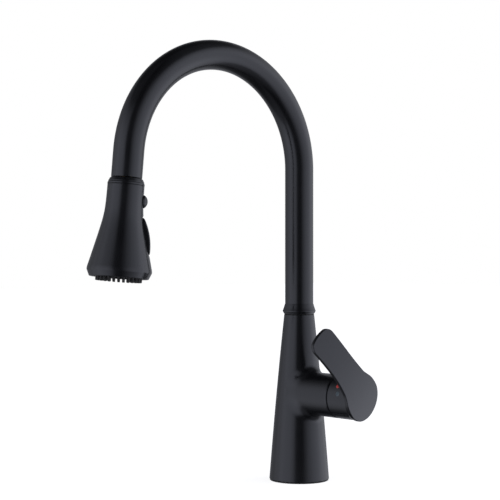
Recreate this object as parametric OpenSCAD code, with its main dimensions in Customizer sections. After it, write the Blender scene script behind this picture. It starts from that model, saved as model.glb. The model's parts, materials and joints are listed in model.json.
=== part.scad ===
// Pull down kitchen faucet: tapered body, turning gooseneck, docked spray head and side lever valve.
// Millimetres. +Z is up, the origin is the body's axis at the deck's surface,
// the spout reaches towards -Y and the lever valve is on the +X side.

/* [Body] */
// Radius of the body at the deck
base_r = 29.7; // [27:0.1:32]
// Height of the seam between the body and the turning collar
neck_z = 164.2; // [160:0.1:168]
// Wall of the body casting
body_wall = 2.6; // [2:0.1:3]

/* [Spout] */
// Outer diameter of the spout tube
spout_d = 28; // [27:0.5:28.5]
// Wall of the spout tube
spout_wall = 1.5; // [1:0.1:1.6]
// Centreline radius of the arch
arch_r = 104.8; // [90:0.1:115]
// Height of the arch's centre
arch_z = 307.3; // [260:0.1:340]
// Lean of the spray head, out from the vertical
end_tilt = 5.5; // [3:0.5:10]
// Straight stretch between the arch and the spray head's reference plane
leg_len = 27; // [25:0.5:40]

/* [Spray head] */
// Turn of the spray head on its hose, from its buttons facing the body towards the lever's side
head_turn = 36; // [-180:1:180]
// Distance from the head's reference plane to its lower rim, without its nozzles
head_len = 87.7; // [86:0.1:89]
// Largest radius of the bell
bell_r = 29.3; // [28:0.1:30]
// Number of nozzles in the outer ring
outer_nozzles = 28; // [20:1:32]

/* [Valve] */
// Height of the valve's axis above the deck
valve_z = 87; // [84:0.5:92]
// Radius of the valve boss and of the lever's hub
boss_r = 21; // [20.5:0.1:22]
// Distance from the body's axis to the point that the lever tilts about
pivot_x = 39; // [38:0.5:42]

/* [Lever] */
// Angle of the lever from the vertical, towards the spout side
lever_angle = 42.6; // [0:0.1:60]
// Length of the lever from the valve's axis to its tip
lever_len = 84; // [70:1:95]
// Half of the lever's narrowest width
lever_half = 14.4; // [12:0.1:16]
// Thickness of the lever's blade
blade_t = 3.6; // [3:0.1:4.5]

/* [Mounting] */
// Outer radius of the threaded shank, for a 35 mm deck hole
shank_r = 16.75; // [16.2:0.05:17]
// Length of the shank below the deck
shank_len = 58; // [50:1:70]
// Thickness of the deck that the nut is drawn for
deck_t = 20; // [5:1:25]

/* [Hidden] */
run = 0.05;
spout_r = spout_d / 2;
bore_r = spout_r - spout_wall;
hose_r = 6;
hose_bore_r = 3.5;
taper = 0.0745;
taper_curve = 0.000095;
toe_h = 3;
toe_out = 0.15;
gasket_t = 1.2;
floor_t = 6.8;
neck_bore_r = 12.6;
neck_bore_z = 126;
washer_t = 0.35;
collar_z = neck_z + washer_t + 0.1;
collar_top_z = 174.7;
shank_bore_r = 15;
port_ring_r = 10.9;
port_r = 3.6;
port_z = 54;
port_angles = [-62, 0, 62];
ball_r = hypot2(19.5, boss_r);
hub_ball_r = ball_r + 1.35;
pocket_r = 17.6;
seat_v = -26;
stem_w = 7;
face_r = 227.3;
face_s = 35.2;
face_x = 92.3;
mouth_y = -arch_r * (1 + cos(end_tilt)) - leg_len * sin(end_tilt);
mouth_z = arch_z + arch_r * sin(end_tilt) - leg_len * cos(end_tilt);
mouth_t = 2.1;
ferrule_top = -14;
neck_r = 16.35;
turn_t = 30.2;
turn_softness = 10;
bell_t = 80.5;
run_out_top = -leg_len;
button_t = 18.2;
button_r = 6.2;
rocker_t = 49;
rocker_len = 33;
rocker_w = 14;
plunger_t = 40;
plunger_end = 10.6;
black = [0.05, 0.05, 0.055];
brass = [0.72, 0.58, 0.32];
steel = [0.62, 0.63, 0.65];
rubber = [0.03, 0.03, 0.03];
white_plastic = [0.82, 0.82, 0.8];
dark_plastic = [0.09, 0.09, 0.1];
ceramic = [0.9, 0.88, 0.84];

function hypot2(a, b) = sqrt(a * a + b * b);
// Radius of the tapered body at height z, with a slight toe at the deck
function body_radius(z) =
  base_r - taper * z - taper_curve * z * z + toe_out * pow(max(0, 1 - z / toe_h), 2);
// Radius of the spray head's bell at distance t below its reference plane:
// a straight neck that turns smoothly into a straight cone
function cone_rise(t) = (t - turn_t + hypot2(t - turn_t, turn_softness)) / 2;
function bell_radius(t) = neck_r + (bell_r - neck_r) * cone_rise(t) / cone_rise(bell_t);
// Half width of the lever at distance s from the valve's axis
function lever_half_width(s) =
  s < 50 ? lever_half + (boss_r - lever_half) * pow((50 - s) / 50, 2)
         : lever_half + 0.6 * pow((s - 50) / 30, 2);

// A ring around the Z axis between two heights
module ring(r_out, r_in, z0, z1) {
  translate([0, 0, z0])
    difference() {
      cylinder(r = r_out, h = z1 - z0, $fn = 96);
      translate([0, 0, -1])
        cylinder(r = r_in, h = z1 - z0 + 2, $fn = 96);
    }
}

// A round rod between two heights on the Z axis
module rod(r, z0, z1) {
  translate([0, 0, z0])
    cylinder(r = r, h = z1 - z0, $fn = 64);
}

module o_ring(major, minor, z) {
  translate([0, 0, z])
    rotate_extrude($fn = 96)
      translate([major, 0])
        circle(r = minor, $fn = 24);
}

// Frame of the valve: Z points out along the valve's axis from the tilt centre, X along the lever
module at_valve() {
  translate([pivot_x, 0, valve_z])
    rotate([lever_angle, 0, 0])
      rotate([0, 90, 0])
        rotate([0, 0, 180])
          children();
}

// Frame of the spray head: its reference plane is at 0, just below the mouth of the spout,
// the head hangs towards -Z and its buttons are at +Y
module at_head() {
  translate([0, mouth_y, mouth_z])
    rotate([-end_tilt, 0, 0])
      rotate([0, 0, -head_turn])
        children();
}

// The solid of the tapered body, inset by a wall
module body_solid(inset, z0, z1) {
  steps = 24;
  rotate_extrude($fn = 128)
    polygon(concat(
      [[0, z0]],
      [for (i = [0:steps]) let (z = z0 + (z1 - z0) * i / steps) [body_radius(z) - inset, z]],
      [[0, z1]]));
}

// The boss around the valve's axis, with its ball shaped end
module valve_boss() {
  root_v = -30;
  end_r = pocket_r - 0.6;
  function ball_v(r) = sqrt(ball_r * ball_r - r * r);
  translate([pivot_x, 0, valve_z])
    rotate([0, 90, 0])
      rotate_extrude($fn = 128)
        polygon(concat(
          [[0, root_v], [boss_r, root_v]],
          [for (i = [0:4]) let (r = boss_r + (end_r - boss_r) * i / 4) [r, ball_v(r)]],
          [[0, ball_v(end_r)]]));
}

// Inner casting: the seat of the cartridge and the block with the water ports
module port_block() {
  seat_back = 7.5;
  block_top = 70;
  intersection() {
    body_solid(1, gasket_t + 1, neck_z - 1);
    translate([1, -30, port_z])
      cube([30, 60, 2 * (valve_z - port_z)]);
    union() {
      translate([seat_back, 0, valve_z])
        rotate([0, 90, 0])
          cylinder(r = boss_r - 0.6, h = 30, $fn = 128);
      rod(19.4, port_z, block_top);
    }
  }
}

// A drilling along X
module cross_drill(x0, x1, y, z) {
  translate([x0, y, z])
    rotate([0, 90, 0])
      cylinder(r = 1.8, h = x1 - x0, $fn = 32);
}

// Two inlets and the outlet: a socket from below, a riser behind the seat and a port in the seat
module port_drillings() {
  riser_x = 10.3;
  riser_r = 2;
  seat_x = pivot_x + seat_v;
  for (a = port_angles) {
    x = port_ring_r * cos(a);
    y = port_ring_r * sin(a);
    seat_port_z = valve_z + (a == 0 ? -9 : 5);
    translate([x, y, port_z - 1])
      cylinder(r = port_r, h = 11, $fn = 48);
    if (a != 0)
      cross_drill(x, riser_x, y, port_z + 8);
    translate([riser_x, y, port_z + 8])
      cylinder(r = riser_r, h = seat_port_z - port_z - 8, $fn = 32);
    cross_drill(riser_x, seat_x + 1, y, seat_port_z - 2);
  }
}

module faucet_body() {
  color(black)
    difference() {
      union() {
        difference() {
          union() {
            body_solid(0, gasket_t, neck_z);
            valve_boss();
          }
          body_solid(body_wall, gasket_t + floor_t, neck_bore_z);
        }
        port_block();
      }
      translate([pivot_x + seat_v, 0, valve_z])
        rotate([0, 90, 0])
          cylinder(r = pocket_r, h = 60, $fn = 128);
      rod(hose_r + 0.8, 0, neck_z);
      rod(neck_bore_r, neck_bore_z - 1, neck_z + 1);
      rod(shank_r + 0.02, 0, gasket_t + floor_t + 1);
      port_drillings();
    }
}

module base_gasket() {
  color(rubber)
    ring(base_r - 0.7, shank_r + 0.6, 0, gasket_t);
}

module mounting_shank() {
  color(brass)
    ring(shank_r, shank_bore_r, -shank_len, gasket_t + floor_t);
}

module deck_rubber_washer() {
  color(rubber)
    ring(27, shank_r + 0.3, -deck_t - 2.5, -deck_t);
}

module deck_steel_washer() {
  color(steel)
    ring(27, shank_r + 0.3, -deck_t - 4, -deck_t - 2.5);
}

nut_z = -deck_t - 4;
nut_h = 12;
flange_r = 26.5;
screw_ring_r = 23.6;

module mounting_nut() {
  wings = 4;
  color(brass)
    difference() {
      union() {
        rod(20.5, nut_z - nut_h, nut_z);
        rod(flange_r, nut_z - 3, nut_z);
        for (i = [0:wings - 1])
          rotate([0, 0, i * 360 / wings])
            translate([18, -3, nut_z - nut_h])
              cube([7, 6, nut_h]);
      }
      rod(shank_r + 0.05, nut_z - nut_h - 1, nut_z + 1);
      for (a = [30, 210])
        rotate([0, 0, a])
          translate([screw_ring_r, 0, nut_z - 4])
            cylinder(r = 2, h = 5, $fn = 32);
    }
}

module nut_screws() {
  color(steel)
    for (a = [30, 210])
      rotate([0, 0, a])
        translate([screw_ring_r, 0, 0]) {
          rod(1.98, nut_z - 6, nut_z);
          rod(2.9, nut_z - 9, nut_z - 6);
        }
}

module spout_slip_washer() {
  color(dark_plastic)
    ring(14.4, neck_bore_r + 0.3, neck_z, neck_z + washer_t);
}

// --- Spout -------------------------------------------------------------------------------------

// A tube along the spout: from the foot up the column, over the arch and down its straight leg,
// which ends at a distance above the head's reference plane.
// The walls of the straight stretches are a little thinner and reach a short way into the arch.
module spout_path(r_out, r_in, foot_z, end_z) {
  step = 0.15;
  reach = 0.5;
  module section(out, in) {
    difference() {
      circle(r = out, $fn = 96);
      circle(r = in, $fn = 96);
    }
  }
  translate([0, 0, foot_z])
    linear_extrude(height = arch_z - foot_z + reach)
      section(r_out - step, r_in + step);
  translate([0, -arch_r, arch_z])
    rotate([0, -90, 0])
      rotate([0, 0, end_tilt - 90])
        rotate_extrude(angle = 180 - end_tilt, $fn = 180)
          translate([arch_r, 0])
            section(r_out, r_in);
  if (end_z < leg_len)
    at_head()
      translate([0, 0, end_z])
        linear_extrude(height = leg_len - end_z + reach)
          section(r_out - step, r_in + step);
}

module spout_tube() {
  color(black)
    spout_path(spout_r, bore_r, collar_z + 0.5, mouth_t);
}

module spout_collar() {
  edge_r = 16.4;
  color(black)
    rotate_extrude($fn = 128)
      polygon([
        [spout_r + 0.02, collar_z], [15.1, collar_z], [15.35, 165.4], [edge_r - 0.2, 166.8],
        [edge_r, 167.2], [edge_r, 168], [edge_r - 0.25, 168.5], [15.1, 171.6], [spout_r + 0.3, 174],
        [spout_r + 0.15, collar_top_z], [spout_r + 0.02, collar_top_z]]);
}

sleeve_bore_r = 9;
seal_heights = [139, 147];
clip_z = neck_bore_z - 2.2;

module swivel_sleeve() {
  tube_foot_z = collar_z + 0.5;
  color(brass)
    difference() {
      union() {
        rod(neck_bore_r - run, clip_z - 1.8, tube_foot_z - 0.3);
        rod(bore_r - 0.02, tube_foot_z - 0.3, tube_foot_z + 12);
        rod(spout_r - 0.05, collar_z, tube_foot_z);
      }
      rod(sleeve_bore_r, clip_z - 3, tube_foot_z + 13);
      for (z = seal_heights)
        ring(15, 11.2, z - 1, z + 1);
      ring(15, 11, clip_z, clip_z + 1.8);
    }
}

module swivel_o_rings() {
  color(rubber)
    for (z = seal_heights)
      o_ring(11.9, 0.65, z);
}

module swivel_clip() {
  color(white_plastic)
    difference() {
      ring(14.6, 11.05, clip_z + 0.05, clip_z + 1.75);
      rotate([0, 0, -30])
        translate([0, 0, clip_z - 1])
          cube([20, 20, 4]);
    }
}

module dock_insert() {
  color(dark_plastic)
    at_head()
      difference() {
        ring(bore_r - 0.02, 8.2, mouth_t + 0.2, 22);
        translate([0, 0, 17])
          cylinder(r1 = 8.2, r2 = 11.6, h = 5.1, $fn = 96);
        ring(11.4, 8.1, mouth_t + 1.3, mouth_t + 5.5);
      }
}

module dock_magnet() {
  color(steel)
    at_head()
      ring(11.35, 8.4, mouth_t + 1.4, mouth_t + 5.4);
}

module pull_out_hose() {
  color([0.25, 0.25, 0.26])
    spout_path(hose_r, hose_bore_r, -shank_len, leg_len);
}

// --- End of the hose ---------------------------------------------------------------------------

module hose_run_out() {
  color([0.25, 0.25, 0.26])
    at_head()
      ring(hose_r, hose_bore_r, -ferrule_top, -run_out_top);
}

module hose_connector() {
  color(brass)
    at_head()
      difference() {
        union() {
          rod(7.6, -5.9, -ferrule_top);
          rod(9.2, -8.4, -5.9);
          rod(6, -20, -8.4);
        }
        rod(3.2, -21, -ferrule_top + 1);
        for (t = [12, 16])
          ring(8, 5, -t - 0.8, -t + 0.8);
      }
}

module connector_o_rings() {
  color(rubber)
    at_head()
      for (t = [12, 16])
        o_ring(5.5, 0.5, -t);
}

// --- Spray head --------------------------------------------------------------------------------

// The solid of the bell between two distances below the mouth, inset by a wall
module bell_solid(inset, t0, t1) {
  steps = 20;
  rotate_extrude($fn = 128)
    polygon(concat(
      [[0, -t0]],
      [for (i = [0:steps]) let (t = t0 + (t1 - t0) * i / steps) [bell_radius(t) - inset, -t]],
      [[0, -t1]]));
}

module head_shell() {
  wall = 2.2;
  slot_gap = 1.1;
  color(black)
    at_head()
      difference() {
        union() {
          bell_solid(0, 4.4, bell_t);
          rotate_extrude($fn = 128)
            polygon([
              [0, -bell_t], [bell_r, -bell_t], [bell_r, -bell_t - 1], [27.4, -head_len], [0, -head_len]]);
        }
        bell_solid(wall, 4, bell_t);
        rod(25.5, -head_len - 1, -bell_t + 0.5);
        rotate([-90, 0, 0])
          translate([0, button_t, 0])
            cylinder(r = button_r + 0.4, h = 40, $fn = 64);
        translate([-rocker_w / 2 - 0.4, 0, -rocker_t - rocker_len / 2 - slot_gap])
          cube([rocker_w + 0.8, 60, rocker_len + 2 * slot_gap]);
      }
}

module head_collar() {
  skirt_r = 14.2;
  color(black)
    at_head()
      rotate_extrude($fn = 128)
        polygon([
          [13.55, 1.6], [14.3, 1.6], [14.9, 1.2], [16.2, -1.6], [16.2, -1.9], [16.6, -2.6],
          [16.8, -4.3], [skirt_r, -4.3], [skirt_r, -10], [13.55, -10]]);
}

module dock_ring() {
  color(steel)
    at_head()
      ring(13.5, 8.6, -2.6, 1.2);
}

module swivel_socket() {
  color(brass)
    at_head()
      difference() {
        union() {
          rod(13.5, -8.6, -2.8);
          rod(8.2, -24, -8.6);
        }
        rod(7.7, -9, -2);
        rod(9.25, -8.55, -5.8);
        rod(6 + run, -21, -8);
        rod(5, -25, -20);
      }
}

module check_valve() {
  color(white_plastic)
    at_head()
      difference() {
        union() {
          rod(6.4, -34, -24.2);
          rod(4.6, -36, -34);
        }
        rod(2.6, -33, -23);
        rod(1.6, -37, -30);
      }
}

module diverter_block() {
  bore_t = plunger_t;
  color(white_plastic)
    at_head()
      difference() {
        union() {
          rod(9, -72, -24.2);
          rod(23, -80, -72);
          translate([0, 0, -bore_t])
            rotate([-90, 0, 0])
              cylinder(r = 5, h = 11, $fn = 64);
        }
        rod(6.45, -34.1, -24);
        rod(4.7, -37, -30);
        rod(7, -81, -66);
        difference() {
          rod(21, -81, -74);
          rod(9, -82, -73);
        }
        translate([0, -6, -bore_t])
          rotate([-90, 0, 0])
            cylinder(r = 3 + run, h = 20, $fn = 64);
      }
}

module face_ring() {
  color(dark_plastic)
    at_head()
      difference() {
        rod(25.4, -head_len + 0.5, -80.2);
        rod(23.1, -80.4, -79);
        rod(21.4, -90, -79);
      }
}

nozzle_rings = [[19.6, outer_nozzles], [15.4, 22], [11.4, 16]];
nozzle_r = 1.3;

module nozzle_array() {
  for (row = nozzle_rings, i = [0:row[1] - 1])
    rotate([0, 0, 360 * i / row[1]])
      translate([row[0], 0, 0])
        children();
}

module spray_plate() {
  color(dark_plastic)
    at_head()
      difference() {
        rod(21.3, -87, -84.2);
        rod(7.6, -92, -80);
        nozzle_array()
          rod(nozzle_r + 0.05, -92, -80);
      }
}

module rubber_nozzles() {
  color([0.07, 0.07, 0.075])
    at_head() {
      ring(21.1, 8.4, -84.1, -82.6);
      nozzle_array()
        difference() {
          rod(nozzle_r, -91, -83);
          translate([0, 0, -92])
            cylinder(r = 0.5, h = 5, $fn = 16);
        }
    }
}

module aerator() {
  cell = 2.4;
  color(dark_plastic)
    at_head()
      difference() {
        rod(7.4, -88.6, -80.2);
        for (row = [-2:2], col = [-2:2])
          let (x = (col + (row % 2 == 0 ? 0 : 0.5)) * cell, y = row * cell * 0.87)
            if (x * x + y * y < 27)
              translate([x, y, 0])
                rod(0.85, -90, -79);
      }
}

pin_y = 12.4;
pin_r = 1.2;

module button_carrier() {
  plate_y = 9.02;
  plate_t = 1.6;
  color(dark_plastic)
    at_head()
      difference() {
        union() {
          translate([-rocker_w / 2, plate_y, -63])
            cube([rocker_w, plate_t, 51]);
          // ears that hold the rocker's pin
          for (side = [-1, 1])
            translate([side * 6 - 1, plate_y, -rocker_t - 4])
              cube([2, 4.9, 8]);
        }
        translate([-20, pin_y, -rocker_t])
          rotate([0, 90, 0])
            cylinder(r = pin_r, h = 40, $fn = 32);
        // guide of the pause button's stem
        translate([0, 0, -button_t])
          rotate([-90, 0, 0])
            cylinder(r = 1.6, h = 20, $fn = 32);
        translate([0, 0, -plunger_t])
          rotate([-90, 0, 0])
            cylinder(r = 5.1, h = 20, $fn = 32);
      }
}

module rocker_pin() {
  color(steel)
    at_head()
      translate([-rocker_w / 2, pin_y, -rocker_t])
        rotate([0, 90, 0])
          cylinder(r = pin_r - 0.01, h = rocker_w, $fn = 32);
}

// Everything under the rocker's crowned surface, set in by a depth
module under_rocker(depth) {
  crown_r = 60;
  crown_y = 24.6;
  crown_lean = 12.5;
  translate([0, crown_y, -rocker_t])
    rotate([crown_lean, 0, 0])
      translate([-20, -crown_r, 0])
        rotate([0, 90, 0])
          cylinder(r = crown_r - depth, h = 40, $fn = 240);
}

module spray_rocker() {
  skirt_y = 14.6;
  post_y = plunger_end + 0.3;
  post_end = 20.7;
  lug_y = pin_y - 1.5;
  lug_end = 23.2;
  color(black)
    at_head()
      difference() {
        union() {
          difference() {
            intersection() {
              translate([-rocker_w / 2, skirt_y, -rocker_t - rocker_len / 2])
                cube([rocker_w, 20, rocker_len]);
              under_rocker(0);
            }
            // hollow behind the pad
            intersection() {
              translate([-rocker_w / 2 + 1.4, 10, -rocker_t - rocker_len / 2 + 1.6])
                cube([rocker_w - 2.8, 20, rocker_len - 3.2]);
              under_rocker(2);
            }
          }
          // lug on the pin
          translate([-4.6, lug_y, -rocker_t - 2.5])
            cube([9.2, lug_end - lug_y, 5]);
          // post that presses the plunger
          translate([0, post_y, -plunger_t])
            rotate([-90, 0, 0])
              cylinder(r = 2.5, h = post_end - post_y, $fn = 48);
        }
        translate([-20, pin_y, -rocker_t])
          rotate([0, 90, 0])
            cylinder(r = pin_r + 0.04, h = 40, $fn = 32);
      }
}

module diverter_plunger() {
  color(white_plastic)
    at_head()
      translate([0, 0, -plunger_t])
        rotate([-90, 0, 0])
          translate([0, 0, 2])
            cylinder(r = 3, h = plunger_end - 2, $fn = 48);
}

module pause_button() {
  dome_r = 7.1;
  proud = 3.7;
  shell_y = bell_radius(button_t);
  color(black)
    at_head()
      translate([0, 0, -button_t])
        rotate([-90, 0, 0]) {
          intersection() {
            translate([0, 0, shell_y - 1.6])
              cylinder(r = button_r, h = 8, $fn = 64);
            translate([0, 0, shell_y + proud - dome_r])
              sphere(r = dome_r, $fn = 96);
          }
          translate([0, 0, 9.9])
            cylinder(r = 1.5, h = shell_y - 10, $fn = 32);
        }
}

module pause_spring() {
  turns = 3.5;
  sides = 8;
  per_turn = 16;
  wire_r = 0.25;
  coil_r = 2.6;
  y0 = 11.5;
  y1 = 14.6;
  steps = turns * per_turn;
  function ring_points(i) =
    let (a = 360 * i / per_turn, y = y0 + (y1 - y0) * i / steps)
    [for (k = [0:sides - 1]) let (b = 360 * k / sides, r = coil_r + wire_r * cos(b))
      [r * cos(a), r * sin(a), y + wire_r * sin(b)]];
  points = [for (i = [0:steps]) each ring_points(i)];
  walls = [for (i = [0:steps - 1], k = [0:sides - 1])
    let (a = i * sides + k, b = i * sides + (k + 1) % sides)
    [a, b, b + sides, a + sides]];
  color(steel)
    at_head()
      translate([0, 0, -button_t])
        rotate([-90, 0, 0])
          polyhedron(points, concat(
            [[for (k = [sides - 1:-1:0]) k]],
            walls,
            [[for (k = [0:sides - 1]) steps * sides + k]]));
}

// --- Valve and lever ---------------------------------------------------------------------------

module cartridge_housing() {
  color(white_plastic)
    at_valve()
      difference() {
        rod(pocket_r - 0.1, seat_v + 0.5, 1);
        rod(15.9, seat_v + 2.6, -1);
        rod(12.58, -2, 2);
        for (a = [0, 120, 240])
          rotate([0, 0, a])
            translate([7.5, 0, 0])
              rod(2.6, seat_v - 1, seat_v + 4);
      }
}

module cartridge_seals() {
  color(rubber)
    at_valve()
      for (a = [0, 120, 240])
        rotate([0, 0, a])
          translate([7.5, 0, 0])
            ring(3.9, 2.6, seat_v, seat_v + 0.5);
}

module fixed_disc() {
  color(ceramic)
    at_valve()
      difference() {
        rod(15, seat_v + 2.6, seat_v + 5.6);
        for (a = [0, 120, 240])
          rotate([0, 0, a])
            translate([7.5, 0, 0])
              rod(2.4, seat_v, seat_v + 6);
      }
}

module cartridge_nut() {
  color(brass)
    at_valve()
      difference() {
        rod(pocket_r - 0.05, 1, 8);
        rod(13.2, 0, 9);
        for (a = [0:60:300])
          rotate([0, 0, a])
            translate([12, -1.5, 5])
              cube([4, 3, 5]);
      }
}

module bonnet_ring() {
  color(black)
    at_valve()
      difference() {
        intersection() {
          rod(pocket_r - 0.03, 9, 30);
          sphere(r = ball_r, $fn = 128);
        }
        rod(15, 8, 31);
      }
}

module cartridge_turret() {
  color(white_plastic)
    at_valve()
      difference() {
        union() {
          rod(12.53, -5.9, 5);
          rod(15.4, -5.9, -3);
        }
        translate([-6.8, -stem_w / 2 - 0.15, -7])
          cube([13.6, stem_w + 0.3, 14]);
        rotate([90, 0, 0])
          translate([0, 0, -20])
            cylinder(r = 1.5, h = 40, $fn = 32);
      }
}

module stem_pin() {
  color(steel)
    at_valve()
      rotate([90, 0, 0])
        translate([0, 0, -12])
          cylinder(r = 1.49, h = 24, $fn = 32);
}

module moving_disc() {
  color(ceramic)
    at_valve()
      difference() {
        rod(11.6, seat_v + 5.63, -6.4);
        rod(3.4, -14, -6);
        translate([0, 0, seat_v + 5])
          cylinder(r1 = 8, r2 = 6, h = 3, $fn = 64);
      }
}

module valve_stem() {
  color(brass)
    at_valve()
      difference() {
        union() {
          translate([-stem_w / 2, -stem_w / 2, -5.5])
            cube([stem_w, stem_w, 47.5]);
          rod(2, -10, -5);
          translate([0, 0, -10])
            sphere(r = 3, $fn = 48);
        }
        rotate([90, 0, 0])
          translate([0, 0, -20])
            cylinder(r = 1.49 + run, h = 40, $fn = 32);
      }
}

// Everything inboard of the lever's gently curved outer face, set in by a depth
module behind_face(depth) {
  translate([face_s, -40, face_x - pivot_x - face_r])
    rotate([-90, 0, 0])
      cylinder(r = face_r - depth, h = 80, $fn = 360);
}

// Outline of the lever seen along the valve's axis
module lever_outline() {
  corner = 6;
  tip_r = 42;
  steps = 24;
  corner_w = lever_half + 0.6 - corner;
  tip_angle = asin(corner_w / (tip_r - corner));
  corner_s = lever_len - tip_r + (tip_r - corner) * cos(tip_angle);
  edge = [for (i = [0:steps]) let (s = 8 + (corner_s - 8) * i / steps) [s, lever_half_width(s)]];
  circle(r = boss_r, $fn = 128);
  polygon(concat(edge, [for (i = [steps:-1:0]) [edge[i][0], -edge[i][1]]]));
  for (side = [-1, 1])
    translate([corner_s, side * corner_w])
      circle(r = corner, $fn = 64);
  translate([lever_len - tip_r, 0])
    polygon(concat([[0, 0]],
      [for (i = [-8:8]) tip_r * [cos(tip_angle * i / 8), sin(tip_angle * i / 8)]]));
}

mark_angles = [12, 33.5];
mark_vs = [33.2, 35.6];
mark_r = 2.3;

// Places a mark on the hub's side, on the part that looks towards the spout side
module at_mark(i) {
  translate([0, 0, mark_vs[i]])
    rotate([0, 0, mark_angles[i]])
      rotate([0, 90, 0])
        children();
}

module lever_handle() {
  screw_v = 34;
  color(black)
    at_valve()
      difference() {
        union() {
          intersection() {
            rod(boss_r, 0, 60);
            behind_face(0);
          }
          difference() {
            intersection() {
              linear_extrude(height = 60)
                lever_outline();
              behind_face(0);
            }
            behind_face(blade_t);
          }
        }
        sphere(r = hub_ball_r, $fn = 128);
        // hollow between the hub's wall and the socket of the stem
        difference() {
          rod(boss_r - 3, 0, 43);
          rod(8.5, 0, 44);
          translate([0, 0, screw_v])
            rotate([0, -90, 0])
              cylinder(r = 4.5, h = 30, $fn = 48);
        }
        translate([-stem_w / 2 - run, -stem_w / 2 - run, 20])
          cube([stem_w + 2 * run, stem_w + 2 * run, 22.2]);
        translate([0, 0, screw_v])
          rotate([0, -90, 0]) {
            cylinder(r = 2.5, h = 30, $fn = 48);
            translate([0, 0, 17])
              cylinder(r = 3.3, h = 10, $fn = 48);
          }
        for (i = [0, 1])
          at_mark(i)
            translate([0, 0, boss_r - 0.8])
              cylinder(r = mark_r, h = 5, $fn = 48);
      }
}

module lever_set_screw() {
  color(steel)
    at_valve()
      translate([0, 0, 34])
        rotate([0, -90, 0])
          difference() {
            translate([0, 0, stem_w / 2 + 0.05])
              cylinder(r = 2.45, h = 7, $fn = 48);
            translate([0, 0, 8])
              cylinder(r = 1.25, h = 5, $fn = 6);
          }
}

module set_screw_plug() {
  color(black)
    at_valve()
      translate([0, 0, 34])
        rotate([0, -90, 0])
          translate([0, 0, 17.05])
            cylinder(r = 3.27, h = 3.6, $fn = 48);
}

module mark(i) {
  at_valve()
    at_mark(i)
      translate([0, 0, boss_r - 0.78])
        cylinder(r = mark_r - 0.02, h = 0.8, $fn = 48);
}

module hot_mark() {
  color([0.75, 0.05, 0.04])
    mark(0);
}

module cold_mark() {
  color([0.05, 0.2, 0.65])
    mark(1);
}

faucet_body();
base_gasket();
mounting_shank();
deck_rubber_washer();
deck_steel_washer();
mounting_nut();
nut_screws();
spout_slip_washer();
cartridge_housing();
cartridge_seals();
fixed_disc();
cartridge_nut();
bonnet_ring();
spout_tube();
spout_collar();
swivel_sleeve();
swivel_o_rings();
swivel_clip();
dock_insert();
dock_magnet();
pull_out_hose();
hose_run_out();
hose_connector();
connector_o_rings();
head_shell();
head_collar();
dock_ring();
swivel_socket();
check_valve();
diverter_block();
face_ring();
spray_plate();
rubber_nozzles();
aerator();
button_carrier();
rocker_pin();
spray_rocker();
diverter_plunger();
pause_button();
pause_spring();
cartridge_turret();
stem_pin();
moving_disc();
valve_stem();
lever_handle();
lever_set_screw();
set_screw_plug();
hot_mark();
cold_mark();
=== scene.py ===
import json
import math
import bpy
import numpy as np
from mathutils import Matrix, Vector


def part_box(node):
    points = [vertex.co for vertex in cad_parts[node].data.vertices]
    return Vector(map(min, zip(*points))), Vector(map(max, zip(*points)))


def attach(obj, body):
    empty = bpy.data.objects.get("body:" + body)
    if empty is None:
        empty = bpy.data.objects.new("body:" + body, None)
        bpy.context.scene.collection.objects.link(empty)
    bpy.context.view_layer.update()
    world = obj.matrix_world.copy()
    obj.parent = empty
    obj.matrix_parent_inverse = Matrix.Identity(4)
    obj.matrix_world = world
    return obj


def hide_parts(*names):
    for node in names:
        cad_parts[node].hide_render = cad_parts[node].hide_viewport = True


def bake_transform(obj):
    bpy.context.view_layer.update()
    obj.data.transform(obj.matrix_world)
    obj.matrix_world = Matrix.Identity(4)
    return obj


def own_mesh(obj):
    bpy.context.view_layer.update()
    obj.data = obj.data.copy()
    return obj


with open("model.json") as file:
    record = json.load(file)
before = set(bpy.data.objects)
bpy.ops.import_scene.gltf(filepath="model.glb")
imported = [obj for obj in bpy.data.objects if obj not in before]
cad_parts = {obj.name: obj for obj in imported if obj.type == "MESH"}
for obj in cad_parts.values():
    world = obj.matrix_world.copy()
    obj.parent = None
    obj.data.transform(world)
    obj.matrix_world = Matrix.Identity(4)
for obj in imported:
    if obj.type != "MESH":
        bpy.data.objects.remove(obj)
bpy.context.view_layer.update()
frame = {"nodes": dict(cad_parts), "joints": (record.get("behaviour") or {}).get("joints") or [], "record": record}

# The geometry below is in millimetres, and the meshes are scaled to metres as they are made.
MM = 0.001
JOINTS = {joint["name"]: joint for joint in frame["joints"]}

# --- Design values that the record doesn't hold ------------------------------------------------

BODY_TOP = 1000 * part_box("faucet_body")[1].z
GASKET_TOP = 1000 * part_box("faucet_body")[0].z
BODY_R = 29.7
BODY_TAPER = 0.0745
BODY_CURVE = 0.000095
BODY_WALL = 2.6
FLOOR_TOP = 8.0
NECK_BORE_R = 12.6
NECK_BORE_Z = 126
SHANK_R = 16.8
BOSS_R = 21
BOSS_FILLET = 9
BALL_R = 28.66
POCKET_R = 17.6
POCKET_X = 13
VALVE_BLOCK_TOP = 112
TUBE_R = 14
TUBE_BORE_R = 12.5
ARCH_R = 104.8
ARCH_Z = 307.3
LEG = 27
MOUTH_T = 2.1
TILT = math.radians(5.5)
COLLAR_Z = 1000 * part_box("spout_collar")[0].z
LEVER_LEN = 84
LEVER_HALF = 14.4
BLADE_T = 3.6
FACE_R = 227.3
FACE_S = 35.2
FACE_X = 92.3
HEAD_LEN = 87.7
BELL_R = 29.3
BELL_T = 80.5

# --- Places --------------------------------------------------------------------------------------


def place(x_axis, y_axis, z_axis, origin):
    """4x4 of a local frame, with its origin in millimetres."""
    m = np.eye(4)
    m[:3, 0], m[:3, 1], m[:3, 2], m[:3, 3] = x_axis, y_axis, z_axis, origin
    return m


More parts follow.
